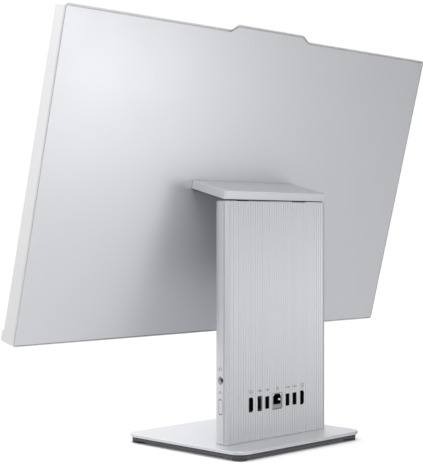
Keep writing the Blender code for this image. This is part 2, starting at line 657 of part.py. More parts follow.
def build_display_shells(tilt, screen):
    """The frame is cut off along the screen plane, whose height is counted down from the frame's top."""
    top = DISPLAY_MIDDLE + DISPLAY_HEIGHT / 2
    bottom = DISPLAY_MIDDLE - DISPLAY_HEIGHT / 2
    half = DISPLAY_WIDTH / 2
    opening = rectangle(FRAME_RIM - half, bottom + CHIN_HEIGHT, half - FRAME_RIM, top - FRAME_RIM)
    blank_depth = DEPTH_BOTTOM + CHIN_STEP + 1 * MM
    frame = prism("middle_frame", [display_outline(0), opening], blank_depth, "XZ",
                  (0, DISPLAY_REAR - blank_depth / 2, 0), "silver", tilt)
    step = CHIN_HEIGHT - 1 * MM - DISPLAY_HEIGHT
    cut(frame, slab("above_chin", half + 5 * MM, step, 20 * MM, -20 * MM, 0, None, screen))
    cut(frame, slab("chin_front", half + 5 * MM, -DISPLAY_HEIGHT - 20 * MM, step + 5 * MM, -20 * MM, -CHIN_STEP,
                    None, screen))
    rebate = prism("cover_rebate", [display_outline(COVER_INSET - GAP)], 4 * MM, "XZ",
                   (0, DISPLAY_REAR - COVER_SHEET - GAP + 2 * MM, 0), None, tilt)
    cut(frame, rebate)
    rear_wall = DISPLAY_REAR - COVER_SHEET - GAP + 0.5 * MM
    for side in (-1, 1):
        cut(frame, slab(f"speaker_pocket_{side}", 46 * MM, bottom + 2 * MM, bottom + 11.4 * MM,
                        DISPLAY_REAR - DEPTH_BOTTOM + 1.2 * MM, rear_wall, None, tilt, side * 130 * MM))
    cut(frame, slab("camera_pocket", 22 * MM, top - 1.2 * MM, top + BUMP_RISE - 1.2 * MM,
                    DISPLAY_REAR - DEPTH_TOP + 1.6 * MM, rear_wall, None, tilt))
    cut(frame, cylinder("lens_hole", 2.2 * MM, 8 * MM, "Y", (0, 0, LENS_RISE), None, screen, 20))
    cut(frame, slab("shutter_recess", 12 * MM, -1.3 * MM, 5.3 * MM, -1 * MM, 0.8 * MM, None, screen, 4 * MM))
    prism(
        "rear_cover",
        [display_outline(COVER_INSET)] + [
            rectangle(side * ARM_X - ARM_WIDTH / 2 - 0.4 * MM, 14.9 * MM,
                      side * ARM_X + ARM_WIDTH / 2 + 0.4 * MM, 18.7 * MM) for side in (-1, 1)
        ],
        COVER_SHEET, "XZ", (0, DISPLAY_REAR - COVER_SHEET / 2, 0), "silver", tilt,
    )


def build_screen(screen):
    """The panel and all behind it lie along the screen plane, whose height is counted down from the frame's top."""
    open_half = DISPLAY_WIDTH / 2 - FRAME_RIM - GAP
    low, high = CHIN_HEIGHT + GAP - DISPLAY_HEIGHT, -FRAME_RIM - GAP
    layer = 0.5 * MM
    stack = (("lcd_panel", 1.2, "screen_glass", 0.0), ("diffuser_sheet", 0.5, "white_film", 1.5),
             ("light_guide", 1.8, "clear_plastic", 1.5), ("panel_backplate", 0.7, "aluminium", 0.3))
    for name, thickness, material, inset in stack:
        foot = low + inset * MM + (2.6 * MM if name == "light_guide" else 0)
        slab(name, open_half - inset * MM, foot, high - inset * MM, layer, layer + thickness * MM, material, screen)
        if name == "light_guide":
            slab("led_strip", open_half - 5 * MM, low + 0.3 * MM, foot - GAP, layer, layer + 1.7 * MM,
                 "white_film", screen)
        layer += thickness * MM + GAP
    board = -DISPLAY_MIDDLE - DISPLAY_HEIGHT / 2
    slab("panel_driver_board", 75 * MM, board - 60 * MM, board - 34 * MM, layer, layer + 1.0 * MM, "circuit_board",
         screen)
    camera = slab("camera_module", 20 * MM, -0.8 * MM, BUMP_RISE - 1.6 * MM, 2.0 * MM,
                  DEPTH_TOP - COVER_SHEET - 1.1 * MM, "black_plastic", screen)
    join(camera, cylinder("lens_barrel", 1.8 * MM, 2.0 * MM, "Y", (0, 2.1 * MM, LENS_RISE), None, screen, 20))
    slab("camera_shutter", 4.5 * MM, -0.9 * MM, 4.9 * MM, -0.3 * MM, 0.5 * MM, "black_plastic", screen, 10.5 * MM)


def build_display_inside(tilt):
    mount_rear = DISPLAY_REAR - COVER_SHEET - 1.8 * MM - GAP
    mount = slab("display_mount_plate", 80 * MM, -25 * MM, 50 * MM, mount_rear - 4.2 * MM, mount_rear, "steel", tilt)
    cut(mount, slab("mount_pocket", 78.8 * MM, -23.8 * MM, 48.8 * MM, mount_rear - 6 * MM, mount_rear - 1.2 * MM,
                    None, tilt))
    bottom = DISPLAY_MIDDLE - DISPLAY_HEIGHT / 2
    for name, side in (("left", -1), ("right", 1)):
        slab("speaker_" + name, 45.6 * MM, bottom + 2.4 * MM, bottom + 11.0 * MM,
             DISPLAY_REAR - DEPTH_BOTTOM + 1.6 * MM, DISPLAY_REAR - COVER_SHEET - 2 * GAP, "black_plastic", tilt,
             side * 130 * MM)


def main():
    build_base()
    build_column_shells()
    build_chassis()
    build_mainboard()
    build_cooler()
    build_side_controls()
    build_ports()
    build_hinge_bracket()
    tilt = bpy.data.objects.new("tilt_axis", None)
    PARTS.objects.link(tilt)
    tilt.location = TILT_AXIS
    tilt.rotation_euler = (-DISPLAY_TILT, 0, 0)
    bpy.context.view_layer.update()
    build_hinge_arms(tilt)
    build_hinge_cap(tilt)
    screen = bpy.data.objects.new("screen_plane", None)
    PARTS.objects.link(screen)
    screen.parent = tilt
    screen.location = (0, DISPLAY_REAR - DEPTH_TOP, DISPLAY_MIDDLE + DISPLAY_HEIGHT / 2)
    screen.rotation_euler = (-math.atan2(DEPTH_BOTTOM - DEPTH_TOP, DISPLAY_HEIGHT), 0, 0)
    bpy.context.view_layer.update()
    build_display_shells(tilt, screen)
    build_screen(screen)
    build_display_inside(tilt)


main()
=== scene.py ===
"""The looks of the all-in-one computer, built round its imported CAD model.

Sizes are in millimetres, and shapes are given in one of three frames. ROW is the object's own, with the
screen to -Y, the sockets to +Y and the floor at z 0. TILT is the display's, with y to its rear, z up the
screen and the origin on the tilt axis. SCREEN is the glass's, turned a little from TILT because the display
is thicker at its foot, with the origin on the front of the display's top edge.
"""

import json
import math

import bmesh
import bpy
from mathutils import Matrix, Vector


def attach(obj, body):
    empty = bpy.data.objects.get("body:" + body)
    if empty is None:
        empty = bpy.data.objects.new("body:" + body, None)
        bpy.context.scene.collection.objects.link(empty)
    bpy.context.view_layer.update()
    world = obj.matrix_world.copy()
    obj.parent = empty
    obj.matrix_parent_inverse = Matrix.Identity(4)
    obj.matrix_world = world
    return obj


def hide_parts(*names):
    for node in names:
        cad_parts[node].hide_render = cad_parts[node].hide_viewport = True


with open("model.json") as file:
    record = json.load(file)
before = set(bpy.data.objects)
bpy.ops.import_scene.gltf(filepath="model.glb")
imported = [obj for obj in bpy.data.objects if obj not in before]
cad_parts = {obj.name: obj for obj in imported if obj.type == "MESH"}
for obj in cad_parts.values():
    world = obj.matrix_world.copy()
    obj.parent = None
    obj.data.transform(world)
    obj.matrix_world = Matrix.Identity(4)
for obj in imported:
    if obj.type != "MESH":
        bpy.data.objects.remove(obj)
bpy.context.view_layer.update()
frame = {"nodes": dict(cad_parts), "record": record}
NODES = frame["nodes"]

MM = 0.001
ROW = Matrix.Identity(4)
TILT = Matrix.Translation((0, 0.035, 0.243)) @ Matrix.Rotation(math.radians(-14.3), 4, "X")
FACING = {  # turns a flat shape drawn in x, y and thickened along z
    "up": Matrix.Identity(4),
    "rear": Matrix.Rotation(math.pi / 2, 4, "X"),
    "side": Matrix.Rotation(math.pi / 2, 4, "Z") @ Matrix.Rotation(math.pi / 2, 4, "X"),
}

# Display, in TILT. The chin and the lit area are measured from the display's edges.
WIDTH, HEIGHT, CORNER = 541.0, 320.5, 3.5
DEPTH_TOP, DEPTH_BOTTOM = 13.0, 16.5
REAR, MIDDLE = -41.3, 16.35
TOP, BOTTOM = MIDDLE + HEIGHT / 2, MIDDLE - HEIGHT / 2
BUMP_FOOT, BUMP_TOP, BUMP_RISE = 120.0, 100.8, 6.1
RIM, CHIN_HEIGHT, CHIN_STEP = 2.2, 13.0, 2.5
LIT_WIDTH, LIT_TOP, LIT_FOOT = 527.0, 7.5, CHIN_HEIGHT + 1.5
SCREEN = (TILT @ Matrix.Translation(Vector((0, REAR - DEPTH_TOP, TOP)) * MM)
          @ Matrix.Rotation(-math.atan2(DEPTH_BOTTOM - DEPTH_TOP, HEIGHT), 4, "X"))
ARM_X, ARM_WIDTH = 44.0, 18.2
CAP_WIDTH, CAP_TOP, CAP_FLOOR, CAP_REAR, CAP_WALL = 153.7, 21.55, 12.9, 7.2, 1.8

# Column, in ROW.
COLUMN_HALF, COLUMN_REAR, COLUMN_FRONT = 76.0, 48.0, 22.7
COLUMN_FOOT, COLUMN_TOP = 10.3, 252.1
COLUMN_HEIGHT, COLUMN_MIDDLE = COLUMN_TOP - COLUMN_FOOT, (COLUMN_TOP + COLUMN_FOOT) / 2
COLUMN_BEND, COLUMN_WALL = 18.0, 2.0
SEAM_FRONT, SEAM_REAR, COVER_INSIDE = 43.4, 44.1, 45.4
RIBS, RIB_PITCH, RIB_DEPTH = 41, 3.54, 0.55
AIR_SLOTS, AIR_PITCH, AIR_Z = 13, 6.0, 177.5

# Sockets and side controls, in ROW.
PORT_Z, SOCKET_MOUTH = 47.0, 45.1
PORTS = {
    "hdmi_out_port": 40.7, "dc_in_port": 28.1, "usb_port_1": 16.6, "ethernet_port": 1.1,
    "usb_port_2": -14.6, "usb_port_3": -25.7, "hdmi_in_port": -37.7,
}
SIDE_Y, BUTTON_Z, JACK_Z, BUTTON_FACE = 38.8, 47.3, 73.6, 75.75
STROKE = 0.32

# Base, in ROW.
BASE_HALF_X, BASE_HALF_Y, BASE_CORNER, BASE_TOP, BASE_SHEET = 95.2, 84.2, 15.0, 10.0, 3.2
TRAY_INSET, TRAY_FOOT, TRAY_TOP, TRAY_WALL, TRAY_SKIN = 2.2, 3.3, 6.5, 2.0, 0.5
FOOT_RADIUS, FOOT_INSET, FOOT_SOFT = 7.5, 11.5, 0.9
SCREW_X, SCREW_Y = 45.0, 35.0

# Studio, in metres and watts. A lobe of the surround is an axis and its strength, which is negative where the
# lobe lies on the axis's negative side.
LOBES_BELOW = (("Z", -1.4), ("Y", -0.7), ("Y", 0.42))
LOBES_ABOVE = (("Z", 1.13), ("Y", -1.2), ("X", 0.35))
LAMPS = {  # place, aim, size, power
    "key": ((0.5, 0.6, 0.8), (0.2, 0, 0.3), (0.4, 0.4), 3.9),
    "overhead": ((0.35, 0.25, 0.9), (0.2, -0.05, 0.4), (0.4, 0.4), 0.9),
    "low_rear": ((-0.35, 0.8, 0.12), (0.2, -0.05, 0.35), (0.3, 0.2), 0.8),
    "side_fill": ((1.42, -0.3, 0.41), (0, 0, 0.2), (0.9, 0.9), 1.9),
}
EYE_PLACE, EYE_ALONG = (0.94463, 0.89379, 0.22308), (-0.70778, -0.70643, 0)
EYE_LENS_MM, EYE_SHIFT = 94.432, (-0.0006, -0.00816)


# --- outlines ----------------------------------------------------------------------------------------------

def arc(u, v, radius, start, end, steps=8):
    angles = [math.radians(start + (end - start) * i / steps) for i in range(steps + 1)]
    return [(u + radius * math.cos(a), v + radius * math.sin(a)) for a in angles]


def circle(u, v, radius, steps=32):
    return arc(u, v, radius, 0, 360, steps)[:-1]


def rounded(low_u, low_v, high_u, high_v, radius, steps=6):
    """A rounded rectangle between two corners."""
    return (
        arc(high_u - radius, high_v - radius, radius, 0, 90, steps)
        + arc(low_u + radius, high_v - radius, radius, 90, 180, steps)
        + arc(low_u + radius, low_v + radius, radius, 180, 270, steps)
        + arc(high_u - radius, low_v + radius, radius, 270, 360, steps)
    )


def oblong(u, v, half_width, half_height, radius, steps=6):
    """A rounded rectangle about its centre."""
    return rounded(u - half_width, v - half_height, u + half_width, v + half_height, radius, steps)


def upright_pill(u, v, width, length, steps=12):
    radius, half = width / 2, (length - width) / 2
    return arc(u, v + half, radius, 0, 180, steps) + arc(u, v - half, radius, 180, 360, steps)


def level_pill(u, v, length, width, steps=12):
    return [(u + b, v + a) for a, b in upright_pill(0, 0, width, length, steps)]


def bow(u, v, radius, start, end, width, steps):
    """A bent stroke, inwards of the radius."""
    return arc(u, v, radius, start, end, steps) + arc(u, v, radius - width, end, start, steps)


def bar(u0, v0, u1, v1, width=STROKE):
    """A stroke between two points."""
    along = Vector((u1 - u0, v1 - v0)).normalized() * width / 2
    across = Vector((-along.y, along.x))
    start, end = Vector((u0, v0)) - along, Vector((u1, v1)) + along
    return [tuple(start - across), tuple(end - across), tuple(end + across), tuple(start + across)]


def mirrored(half):
    return half + [(-u, v) for u, v in reversed(half)]


def bend(start, corner, end, steps=4):
    """A smooth turn from one point to another, pulled towards the corner."""
    turn = []
    for i in range(steps + 1):
        t = i / steps
        point = (1 - t) ** 2 * Vector(start) + 2 * t * (1 - t) * Vector(corner) + t * t * Vector(end)
        turn.append(tuple(point))
    return turn


def display_outline(inset, drop=0.0):
    """The display's rim with the camera bump, moved inwards, and its top edge lowered by a little more."""
    half, radius, soft = WIDTH / 2 - inset, CORNER - inset, 2.5
    top, bottom = TOP - inset - drop, BOTTOM + inset
    foot, peak, crest = BUMP_FOOT / 2 - inset / 2, BUMP_TOP / 2 - inset / 2, top + BUMP_RISE
    slope = Vector((foot - peak, -BUMP_RISE)).normalized() * soft
    bump = (
        bend((foot + soft, top), (foot, top), (foot - slope.x, top - slope.y))
        + bend((peak + slope.x, crest + slope.y), (peak, crest), (peak - soft, crest))
    )
    return (
        arc(half - radius, top - radius, radius, 0, 90)
        + mirrored(bump)
        + arc(-half + radius, top - radius, radius, 90, 180)
        + arc(-half + radius, bottom + radius, radius, 180, 270)
        + arc(half - radius, bottom + radius, radius, 270, 360)
    )


def base_outline(inset, steps=12):
    return oblong(0, 0, BASE_HALF_X - inset, BASE_HALF_Y - inset, BASE_CORNER - inset, steps)


def hdmi(x, half_width, half_height, slope=1.9):
    """An HDMI socket's outline, with its narrow side to -X."""
    low, high = PORT_Z - half_height, PORT_Z + half_height
    return [(x + half_width, low), (x + half_width, high), (x - half_width + slope, high),
            (x - half_width, high - slope), (x - half_width, low + slope), (x - half_width + slope, low)]


# --- materials ---------------------------------------------------------------------------------------------

def finish(name, colour, roughness, metallic=0.0, vary=0.05, grain=0.1, grain_mm=0.4, mottle=0.03,
           stretch=(1, 1, 1), coat=0.0, specular=0.5):
    """A surface whose roughness drifts slowly, with a fine grain in its height and colour."""
    made = bpy.data.materials.new(name)
    made.use_nodes = True
    nodes, link = made.node_tree.nodes, made.node_tree.links.new
    shader = nodes["Principled BSDF"]
    shader.inputs["Metallic"].default_value = metallic
    shader.inputs["Specular IOR Level"].default_value = specular
    shader.inputs["Coat Weight"].default_value = coat
    shader.inputs["Coat Roughness"].default_value = 0.15
    place = nodes.new("ShaderNodeTexCoord")
    scale = nodes.new("ShaderNodeMapping")
    scale.inputs["Scale"].default_value = stretch
    link(place.outputs["Object"], scale.inputs["Vector"])
    cloud = nodes.new("ShaderNodeTexNoise")
    cloud.inputs["Scale"].default_value = 16.0
    cloud.inputs["Detail"].default_value = 4.0
    fine = nodes.new("ShaderNodeTexNoise")
    fine.inputs["Scale"].default_value = 1 / (grain_mm * MM)
    fine.inputs["Detail"].default_value = 2.0
    for texture in (cloud, fine):
        link(scale.outputs["Vector"], texture.inputs["Vector"])
    rough = nodes.new("ShaderNodeMapRange")
    rough.inputs["From Min"].default_value = 0.3
    rough.inputs["From Max"].default_value = 0.7
    rough.inputs["To Min"].default_value = roughness - vary
    rough.inputs["To Max"].default_value = roughness + vary
    link(cloud.outputs["Fac"], rough.inputs["Value"])
    link(rough.outputs["Result"], shader.inputs["Roughness"])
    tint = nodes.new("ShaderNodeMix")
    tint.data_type = "RGBA"
    tint.inputs["A"].default_value = (*(c * (1 - mottle) for c in colour), 1)
    tint.inputs["B"].default_value = (*(min(1, c * (1 + mottle)) for c in colour), 1)
    link(fine.outputs["Fac"], tint.inputs["Factor"])
    link(tint.outputs["Result"], shader.inputs["Base Color"])
    bump = nodes.new("ShaderNodeBump")
    bump.inputs["Strength"].default_value = grain
    bump.inputs["Distance"].default_value = 0.05 * MM
    link(fine.outputs["Fac"], bump.inputs["Height"])
    link(bump.outputs["Normal"], shader.inputs["Normal"])
    return made


SILVER = finish("satin_silver", (0.60, 0.61, 0.635), 0.40, 0.65, vary=0.015, grain=0.12, grain_mm=0.3,
                mottle=0.035)
# A lighter copy of the satin silver for the display frame: a painted highlight standing in for the strong
# light on the frame's side edge.
SILVER_PAINTED_LIGHTER_RIM = finish("satin_silver_painted_lighter_rim", (0.64, 0.642, 0.65), 0.42, 0.6, vary=0.015, grain=0.12, grain_mm=0.3,
                    mottle=0.03)
SILVER_BASE = finish("satin_silver_steel", (0.64, 0.65, 0.67), 0.36, 0.7, vary=0.02, grain=0.1, grain_mm=0.3,
                     mottle=0.03)
SHADE = finish("dark_trim", (0.052, 0.052, 0.062), 0.5, grain=0.4, grain_mm=0.5, mottle=0.12)
RUBBER = finish("foot_rubber", (0.045, 0.045, 0.052), 0.8, grain=0.6, grain_mm=0.6, mottle=0.15)
BLACK = finish("moulded_black", (0.010, 0.010, 0.011), 0.5, grain=0.3, grain_mm=0.3, mottle=0.1, specular=0.2)
PIT = finish("socket_black", (0.004, 0.004, 0.005), 0.6, grain=0.2, grain_mm=0.3, mottle=0.1, specular=0.1)
STEEL = finish("plated_steel", (0.56, 0.57, 0.59), 0.3, 1.0, vary=0.08, grain=0.25, grain_mm=0.25,
               mottle=0.06, stretch=(1, 1, 12))
NICKEL = finish("nickel_shell", (0.62, 0.61, 0.6), 0.25, 1.0, vary=0.08, grain=0.15, grain_mm=0.2,
                mottle=0.05)
TIN = finish("tinned_shield", (0.33, 0.335, 0.345), 0.4, 0.5, vary=0.06, grain=0.25, grain_mm=0.25,
             mottle=0.06)
GOLD = finish("gold_contacts", (0.85, 0.6, 0.25), 0.25, 1.0, grain_mm=0.1, mottle=0.05)
COPPER = finish("copper", (0.75, 0.38, 0.22), 0.32, 1.0, vary=0.1, grain=0.2, grain_mm=0.5, mottle=0.1)
ALUMINIUM = finish("aluminium", (0.72, 0.73, 0.75), 0.35, 1.0, vary=0.06, grain=0.25, grain_mm=0.3,
                   mottle=0.05, stretch=(12, 1, 1))
BOARD = finish("solder_resist", (0.012, 0.09, 0.045), 0.4, grain=0.4, grain_mm=1.5, mottle=0.35, coat=0.3)
FILM = finish("white_film", (0.82, 0.82, 0.82), 0.6, grain_mm=0.5)
ACRYLIC = finish("light_guide_acrylic", (0.75, 0.78, 0.8), 0.12, grain=0.05, grain_mm=0.8, mottle=0.04)
PRINT = finish("grey_print", (0.2, 0.2, 0.21), 0.5, grain=0.2, grain_mm=0.2, mottle=0.08)
LAMP = finish("lamp_lens", (0.85, 0.86, 0.88), 0.25, grain_mm=0.3, mottle=0.04)
WINDOW = finish("camera_window", (0.01, 0.01, 0.012), 0.08, vary=0.03, grain=0.02, grain_mm=1.0, coat=0.5)


def screen_finish():
    """Anti-glare glass: a lit area that is a little lighter than the black border round it."""
    made = finish("screen_glass", (0.010, 0.010, 0.012), 0.2, vary=0.03, grain=0.03, grain_mm=0.25,
                  specular=0.2)
    nodes, link = made.node_tree.nodes, made.node_tree.links.new

    def maths(operation, first, second):
        node = nodes.new("ShaderNodeMath")
        node.operation = operation
        link(first, node.inputs[0])
        if isinstance(second, float):
            node.inputs[1].default_value = second
        else:
            link(second, node.inputs[1])
        return node.outputs[0]

    split = nodes.new("ShaderNodeSeparateXYZ")
    place = next(n for n in nodes if n.type == "TEX_COORD")
    link(place.outputs["Object"], split.inputs["Vector"])
    x, z = split.outputs["X"], split.outputs["Z"]
    side = LIT_WIDTH / 2 * MM
    low, high = ((SCREEN @ Vector((0, 0, down * MM))).z for down in (LIT_FOOT - HEIGHT, -LIT_TOP))
    across = maths("MULTIPLY", maths("GREATER_THAN", x, -side), maths("LESS_THAN", x, side))
    along = maths("MULTIPLY", maths("GREATER_THAN", z, low), maths("LESS_THAN", z, high))
    colour = nodes.new("ShaderNodeMix")
    colour.data_type = "RGBA"
    colour.inputs["A"].default_value = (0.003, 0.003, 0.0035, 1)
    colour.inputs["B"].default_value = (0.014, 0.015, 0.018, 1)
    link(maths("MULTIPLY", across, along), colour.inputs["Factor"])
    link(colour.outputs["Result"], nodes["Principled BSDF"].inputs["Base Color"])
    return made


GLASS = screen_finish()

SLOT_FINISHES = {
    "steel": STEEL, "circuit_board": BOARD, "black_plastic": BLACK, "copper": COPPER, "aluminium": ALUMINIUM,
    "clear_plastic": ACRYLIC, "white_film": FILM, "rubber": RUBBER, "dark_plastic": SHADE,
    "silver_plastic": SILVER, "silver_steel": SILVER_BASE, "screen_glass": GLASS,
}


# --- pieces ------------------------------------------------------------------------------------------------

def piece(name, mesh, material, body=None, replaces=()):
    """An object for the mesh. With no body it is a Boolean's operand or the floor."""
    made = bpy.data.objects.new(name, mesh)
    bpy.context.scene.collection.objects.link(made)
    mesh.materials.clear()
    if material:
        mesh.materials.append(material)
    if body:
        mesh.shade_smooth()
        mesh.set_sharp_from_angle(angle=math.radians(30))
        weigh = made.modifiers.new("flat_faces", "WEIGHTED_NORMAL")
        weigh.keep_sharp = True
        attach(made, body)
        if replaces:
            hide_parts(*replaces)
    return made


def from_bmesh(name, shape, matrix):
    bmesh.ops.recalc_face_normals(shape, faces=shape.faces)
    bmesh.ops.transform(shape, matrix=matrix, verts=shape.verts)
    mesh = bpy.data.meshes.new(name)
    shape.to_mesh(mesh)
    shape.free()
    return mesh


def plate_mesh(name, outlines, thickness, facing="rear", at=(0, 0, 0), place=ROW, edge=0.0, steps=2):
    """A flat shape with holes, thickened evenly about its plane, its rims rounded to the edge radius."""
    curve = bpy.data.curves.new(name, "CURVE")
    curve.dimensions = "2D"
    curve.fill_mode = "BOTH"
    curve.extrude = thickness / 2 - edge
    curve.bevel_depth = edge
    curve.bevel_resolution = steps
    curve.offset = -edge
    for outline in outlines:
        spline = curve.splines.new("POLY")
        spline.points.add(len(outline) - 1)
        for point, (u, v) in zip(spline.points, outline):
            point.co = (u, v, 0, 1)
        spline.use_cyclic_u = True
    drawn = bpy.data.objects.new(name, curve)
    bpy.context.scene.collection.objects.link(drawn)
    evaluated = drawn.evaluated_get(bpy.context.evaluated_depsgraph_get())
    shape = bmesh.new()
    loose = bpy.data.meshes.new_from_object(evaluated)
    shape.from_mesh(loose)
    bpy.data.objects.remove(drawn)
    bpy.data.meshes.remove(loose)
    bmesh.ops.remove_doubles(shape, verts=shape.verts, dist=0.002)
    turn = Matrix.Translation(at) @ FACING[facing]
    return from_bmesh(name, shape, place @ Matrix.Scale(MM, 4) @ turn)


def block_mesh(name, low, high, place=ROW, edge=0.0):
    low, high = Vector(low), Vector(high)
    shape = bmesh.new()
    bmesh.ops.create_cube(shape, size=1)
    bmesh.ops.scale(shape, vec=high - low, verts=shape.verts)
    bmesh.ops.translate(shape, vec=(low + high) / 2, verts=shape.verts)
    if edge:
        bmesh.ops.bevel(shape, geom=shape.edges[:], offset=edge, segments=2, profile=0.5, affect="EDGES")
    return from_bmesh(name, shape, place @ Matrix.Scale(MM, 4))


def turned_mesh(name, profile, axis="z", at=(0, 0, 0), place=ROW, steps=40):
    """A turned shape from (radius, height) points."""
    shape = bmesh.new()
    verts = [shape.verts.new((r, 0, h)) for r, h in profile]
    edges = [shape.edges.new(pair) for pair in zip(verts, verts[1:])]
    bmesh.ops.spin(shape, geom=verts + edges, angle=math.tau, steps=steps, axis=(0, 0, 1), cent=(0, 0, 0),
                   use_merge=True)
    bmesh.ops.remove_doubles(shape, verts=shape.verts, dist=0.001)
    turn = {
        "z": Matrix.Identity(4),
        "x": Matrix.Rotation(math.pi / 2, 4, "Y"),
        "y": Matrix.Rotation(-math.pi / 2, 4, "X"),
    }[axis]
    return from_bmesh(name, shape, place @ Matrix.Scale(MM, 4) @ Matrix.Translation(at) @ turn)


def carve(mesh, cutters, operation="DIFFERENCE"):
    """The mesh after a Boolean with each cutter mesh in turn."""
    body = piece("carving", mesh, None)
    tools = []
    for i, cutter in enumerate(cutters):
        tool = piece(f"tool_{i}", cutter, None)
        modifier = body.modifiers.new(tool.name, "BOOLEAN")
        modifier.operation = operation
        modifier.solver = "EXACT"
        modifier.object = tool
        tools.append(tool)
    result = bpy.data.meshes.new_from_object(body.evaluated_get(bpy.context.evaluated_depsgraph_get()))
    for used in [body, *tools]:
        bpy.data.objects.remove(used)
    return result


def plate(name, outlines, thickness, material, body, facing="rear", at=(0, 0, 0), place=ROW, edge=0.0,
          steps=2, replaces=()):
    mesh = plate_mesh(name, outlines, thickness, facing, at, place, edge, steps)
    return piece(name, mesh, material, body, replaces)


def block(name, low, high, material, body, edge=0.0):
    return piece(name, block_mesh(name, low, high, edge=edge), material, body)


def turned(name, profile, material, body, axis="z", at=(0, 0, 0), place=ROW, steps=40,
           replaces=()):
    return piece(name, turned_mesh(name, profile, axis, at, place, steps), material, body, replaces)


# --- base --------------------------------------------------------------------------------------------------

def build_base():
    plate("base_top_plate", [base_outline(0, 14)], BASE_SHEET, SILVER_BASE, "stand", "up",
          (0, 0, BASE_TOP - BASE_SHEET / 2), edge=0.7, steps=3, replaces=["base_plate"])
    build_tray()
    lip = 0.28
    plate("base_lip", [base_outline(1.6), base_outline(8, 8)], lip, SHADE, "stand", "up",
          (0, 0, BASE_TOP - BASE_SHEET - lip / 2))
    build_feet()
    build_base_screws()


def build_tray():
    tray = plate_mesh("tray", [base_outline(TRAY_INSET)], TRAY_TOP - TRAY_FOOT, "up",
                      (0, 0, (TRAY_TOP + TRAY_FOOT) / 2), edge=1.1, steps=3)
    pocket_depth = 4
    pocket = plate_mesh("pocket", [base_outline(TRAY_INSET + TRAY_WALL, 8)], pocket_depth, "up",
                        (0, 0, TRAY_FOOT + TRAY_SKIN + pocket_depth / 2))
    holes = [turned_mesh("hole", [(0, 9), (4.5, 9), (4.5, 0), (0, 0)], at=(x, SCREW_Y, 0))
             for x in (-SCREW_X, SCREW_X)]
    piece("base_tray_shell", carve(tray, [pocket] + holes), SHADE, "stand", ["base_tray"])


def build_feet():
    top = TRAY_FOOT - 0.05
    rim = arc(FOOT_RADIUS - FOOT_SOFT, FOOT_SOFT, FOOT_SOFT, 0, -90, 5)
    profile = [(0, top), (FOOT_RADIUS, top)] + rim + [(5.2, 0), (4.9, 0.3), (0, 0.3)]
    for node, x, y in (("foot_front_left", -1, -1), ("foot_front_right", 1, -1),
                       ("foot_rear_left", -1, 1), ("foot_rear_right", 1, 1)):
        place = (x * (BASE_HALF_X - FOOT_INSET), y * (BASE_HALF_Y - FOOT_INSET), 0)
        turned(node + "_pad", profile, RUBBER, "stand", at=place, replaces=[node])


def build_base_screws():
    profile = [(0, 12.4), (1.7, 12.4), (1.7, 6.5), (3.6, 6.5), (3.6, 5.0), (3.1, 4.4), (0, 4.4)]
    for node, x in (("base_screw_left", -SCREW_X), ("base_screw_right", SCREW_X)):
        head = turned_mesh("head", profile, at=(x, SCREW_Y, 0))
        cross = [block_mesh("slot", (x - a, SCREW_Y - b, 3), (x + a, SCREW_Y + b, 5.5))
                 for a, b in ((2.0, 0.45), (0.45, 2.0))]
        piece(node + "_head", carve(head, cross), STEEL, "stand", [node])


# --- column ------------------------------------------------------------------------------------------------

def ribbed_outline():
    """The rear cover's plan: a wave of ribs, a groove at each end, round corners and folded-in sides."""
    valley, field, radius = COLUMN_REAR - RIB_DEPTH, RIBS * RIB_PITCH / 2, 3.4
    ribs = []
    for i in range(4 * RIBS):
        wave = (1 + math.cos(math.pi * i / 4)) / 2
        ribs.append((i * RIB_PITCH / 8, valley + RIB_DEPTH * wave))
    groove = [(field - 0.2, valley - 0.4), (field + 0.2, valley - 0.4)]
    corner = arc(COLUMN_HALF - radius, COLUMN_REAR - 0.05 - radius, radius, 90, 0, 10)[1:-1]
    fold = [(COLUMN_HALF, SEAM_REAR + 0.3), (COLUMN_HALF - 0.3, SEAM_REAR), (COLUMN_HALF - 2.2, SEAM_REAR),
            (COLUMN_HALF - 2.2, COVER_INSIDE)]
    return mirrored(ribs + groove + corner + fold)


def opening_outline(name, grow=0.0):
    """The hole that the rear cover shows for a port."""
    x, kind = PORTS[name], name.split("_")[0]
    if kind == "hdmi":
        return hdmi(x, 3.2 + grow, 7.4 + grow)
    half_width, half_height = {"usb": (2.75, 6.4), "dc": (3.4, 7.65), "ethernet": (7.5, 8.3)}[kind]
    return oblong(x, PORT_Z, half_width + grow, half_height + grow, 0.35, 3)


def build_column_rear():
    cover = plate_mesh("cover", [ribbed_outline()], COLUMN_HEIGHT, "up", (0, 0, COLUMN_MIDDLE))
    holes = [plate_mesh(name, [opening_outline(name)], 12, at=(0, COLUMN_REAR, 0)) for name in PORTS]
    piece("column_rear_panel", carve(cover, holes), SILVER, "stand", ["column_rear_cover"])


def build_column_front():
    centre, soft = (COLUMN_HALF - COLUMN_BEND, COLUMN_FRONT + COLUMN_BEND), 0.7
    outside = (arc(COLUMN_HALF - soft, SEAM_FRONT - soft, soft, 90, 0, 5)
               + arc(*centre, COLUMN_BEND, 0, -90, 18))
    inside = [(COLUMN_HALF - COLUMN_WALL, SEAM_FRONT)] + arc(*centre, COLUMN_BEND - COLUMN_WALL, 0, -90, 18)
    outline = mirrored(outside) + mirrored([(-u, v) for u, v in inside])
    shell = plate_mesh("shell", [outline], COLUMN_HEIGHT, "up", (0, 0, COLUMN_MIDDLE), edge=0.3, steps=1)
    holes = upright_pill(SIDE_Y, BUTTON_Z, 6.8, 15.8, 16), circle(SIDE_Y, JACK_Z, 4.1)
    cutters = [plate_mesh("hole", [hole], 10, "side", (COLUMN_HALF, 0, 0)) for hole in holes]
    for i in range(AIR_SLOTS):
        x = (i - (AIR_SLOTS - 1) / 2) * AIR_PITCH
        cutters.append(plate_mesh("slot", [upright_pill(x, AIR_Z, 2.4, 55)], 5, at=(0, COLUMN_FRONT, 0)))
    piece("column_front_panel", carve(shell, cutters), SILVER, "stand",
          ["column_front_shell"])


